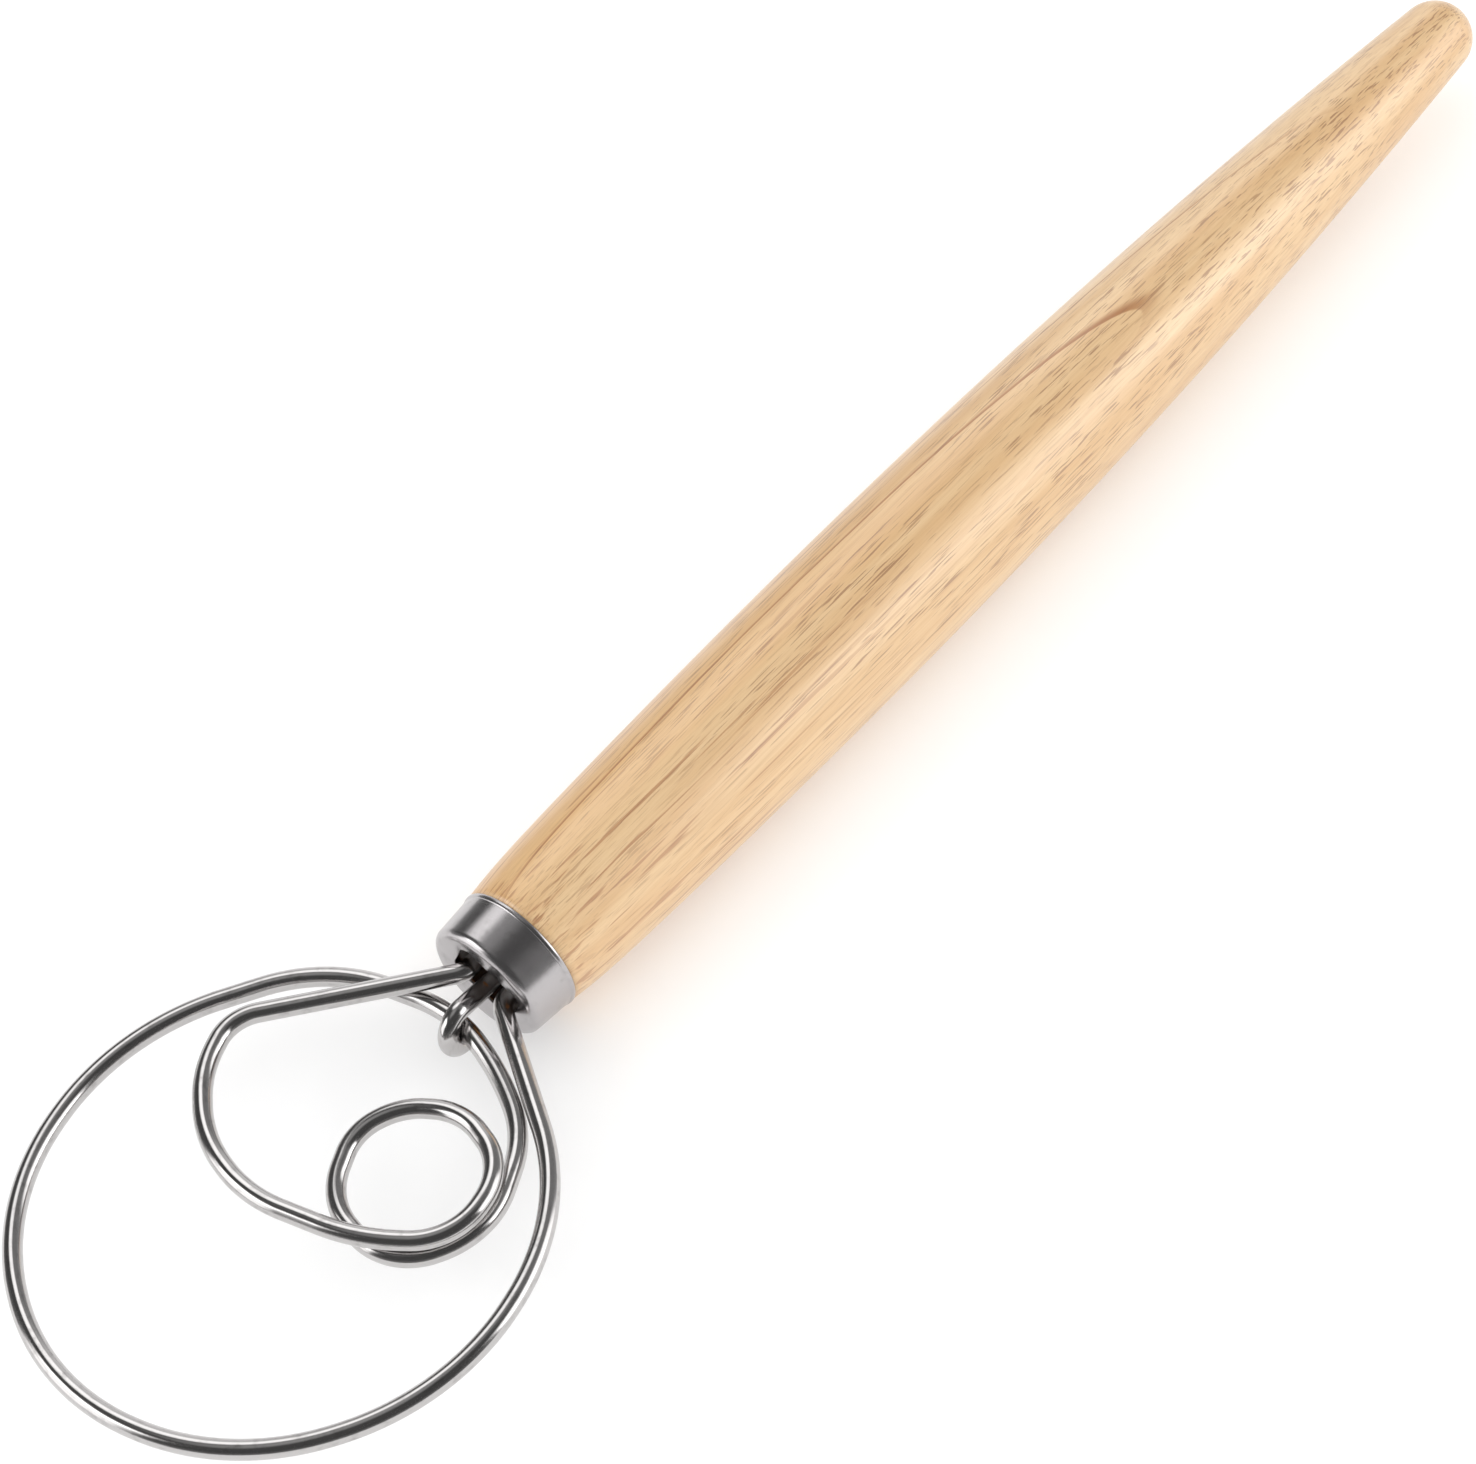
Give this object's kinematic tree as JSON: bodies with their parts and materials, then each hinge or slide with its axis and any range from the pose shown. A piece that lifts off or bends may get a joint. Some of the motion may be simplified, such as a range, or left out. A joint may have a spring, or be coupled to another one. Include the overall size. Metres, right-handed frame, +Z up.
{
  "type": "dough whisk",
  "caption": "Danish dough whisk: a turned wooden handle with a short steel ferrule and one stiff wire bent into an outer ring, an inner loop and a small curl, for mixing dough.",
  "frame": {"origin": "bottom centre of the whole whisk's box, lying flat: under the handle's belly in height, half way along it in length, and on the ring's middle in width", "axes": "+X along the handle's axis, from the round tip towards the loops; +Z up, square to the plane of the loops; +Y to the left when looking along +X from above"},
  "size_m": [0.34, 0.0854, 0.0268],
  "materials": {
    "wood": "satin",
    "wire_steel": "polished",
    "ferrule_steel": "satin",
    "glue": "satin"
  },
  "bodies": {
    "root": {"handle": "wood", "ferrule": "ferrule_steel", "whisk_wire": "wire_steel", "hook": "wire_steel", "glue_plug": "glue"}
  },
  "joints": []
}
